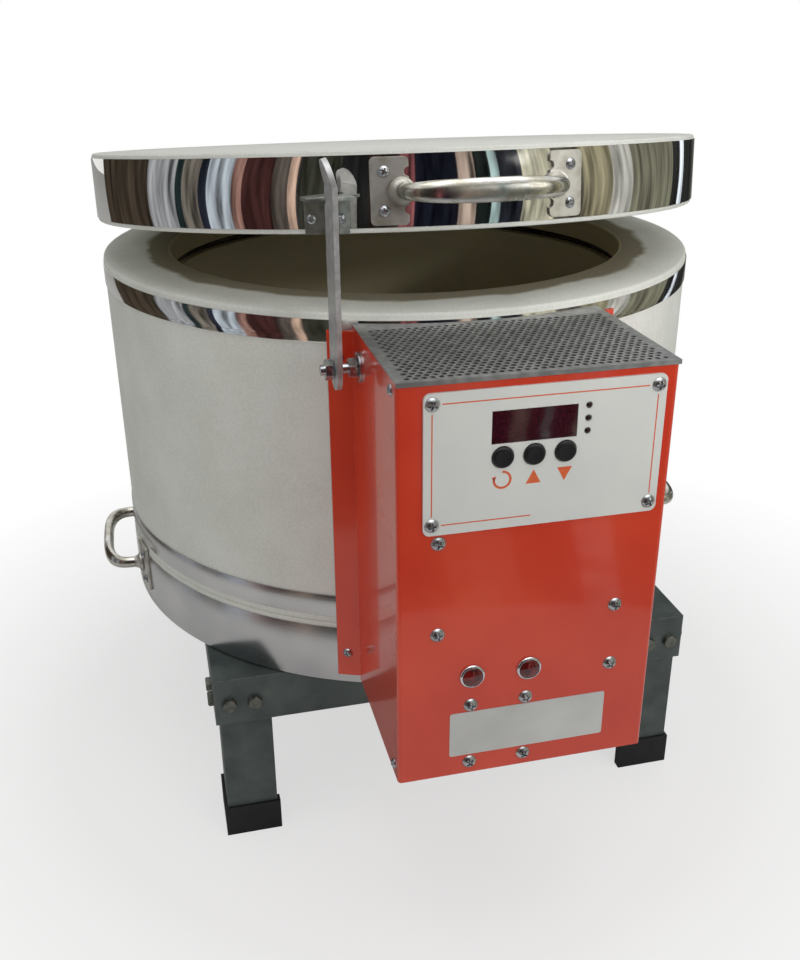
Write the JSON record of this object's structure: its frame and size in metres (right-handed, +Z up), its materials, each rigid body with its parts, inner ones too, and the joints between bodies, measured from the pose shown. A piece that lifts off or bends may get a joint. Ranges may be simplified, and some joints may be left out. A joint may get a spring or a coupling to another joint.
{
  "type": "jewellery kiln",
  "caption": "Small round electric kiln on an angle-iron stand, with a hinged lid held ajar by a prop arm and a control box on its front.",
  "frame": {"origin": "on the floor, under the middle of the whole kiln's outline", "axes": "+Z up; the control box faces -Y; +X to the right seen from the front; the chamber's axis is upright at x = 0, y = 42.56 mm"},
  "size_m": [0.5124, 0.5852, 0.5138],
  "materials": {
    "ceramic_fibre": "matte vacuum-formed fibre",
    "polished_stainless": "mirror polished strip",
    "satin_stainless": "satin strip",
    "heating_wire": "oxidised resistance wire",
    "insulator": "unglazed",
    "red_enamel": "gloss stoved enamel",
    "perforated_sheet": "bare perforated sheet",
    "zinc_fasteners": "bright zinc plate",
    "panel_film": "printed film on plate",
    "display_lens": "tinted acrylic",
    "lamp": "dark tinted",
    "button_plastic": "moulded",
    "circuit": "lacquered laminate",
    "moulding": "moulded phenolic",
    "windings": "varnished core and windings",
    "chrome_rim": "chrome plate",
    "pilot_lens": "red lens",
    "label": "blank label film",
    "flat_bar": "mill zinc plate",
    "nickel": "worn nickel plate",
    "bracket_steel": "zinc plate",
    "stand_paint": "dark grey-green stove paint",
    "foot_plastic": "moulded cap"
  },
  "bodies": {
    "kiln": {"floor_slab": "ceramic_fibre", "floor_band": "satin_stainless", "wall_ring": "ceramic_fibre", "upper_band": "polished_stainless", "lower_band": "polished_stainless", "band_clamps": "zinc_fasteners", "upper_element": "heating_wire", "middle_element": "heating_wire", "lower_element": "heating_wire", "thermocouple": "insulator", "control_case": "red_enamel", "case_top": "perforated_sheet", "case_bottom": "red_enamel", "case_screws": "zinc_fasteners", "front_screws": "zinc_fasteners", "cord_gland": "moulding", "control_panel": "panel_film", "panel_screws": "zinc_fasteners", "display_window": "display_lens", "indicator_lamps": "lamp", "circuit_board": "circuit", "board_spacers": "zinc_fasteners", "relay": "moulding", "terminal_block": "moulding", "transformer": "windings", "pilot_bezels": "chrome_rim", "pilot_lenses": "pilot_lens", "blank_label": "label", "pivot_bolt": "zinc_fasteners", "pivot_washer": "zinc_fasteners", "pivot_nuts": "zinc_fasteners", "hinge_base": "bracket_steel", "hinge_pin": "zinc_fasteners", "left_grip": "nickel", "right_grip": "nickel", "side_grip_plates": "nickel", "body_screws": "zinc_fasteners", "front_left_leg": "stand_paint", "front_right_leg": "stand_paint", "back_left_leg": "stand_paint", "back_right_leg": "stand_paint", "front_rail": "stand_paint", "back_rail": "stand_paint", "left_rail": "stand_paint", "right_rail": "stand_paint", "foot_caps": "foot_plastic", "stand_bolts": "zinc_fasteners"},
    "lid": {"lid_slab": "ceramic_fibre", "lid_band": "polished_stainless", "lid_grip": "nickel", "lid_grip_plates": "nickel", "catch_bracket": "bracket_steel", "lid_screws": "zinc_fasteners", "hinge_leaf": "bracket_steel"},
    "prop_arm": {"prop_arm": "flat_bar"},
    "start_button": {"start_button": "button_plastic"},
    "raise_button": {"raise_button": "button_plastic"},
    "lower_button": {"lower_button": "button_plastic"}
  },
  "joints": [
    {"name": "lid_hinge", "type": "hinge", "parent": "kiln", "child": "lid", "pos_m": [0, 0.28456, 0.419], "axis": [-1, 0, 0], "range_deg": [-6, 80]},
    {"name": "prop_pivot", "type": "hinge", "parent": "kiln", "child": "prop_arm", "pos_m": [-0.093, -0.19444, 0.3896], "axis": [1, 0, 0], "range_deg": [0, 180]},
    {"name": "start_button_press", "type": "slide", "parent": "kiln", "child": "start_button", "axis": [0, 1, 0], "range_m": [0, 0.0015], "stiffness_N_per_m": 400},
    {"name": "raise_button_press", "type": "slide", "parent": "kiln", "child": "raise_button", "axis": [0, 1, 0], "range_m": [0, 0.0015], "stiffness_N_per_m": 400},
    {"name": "lower_button_press", "type": "slide", "parent": "kiln", "child": "lower_button", "axis": [0, 1, 0], "range_m": [0, 0.0015], "stiffness_N_per_m": 400}
  ]
}
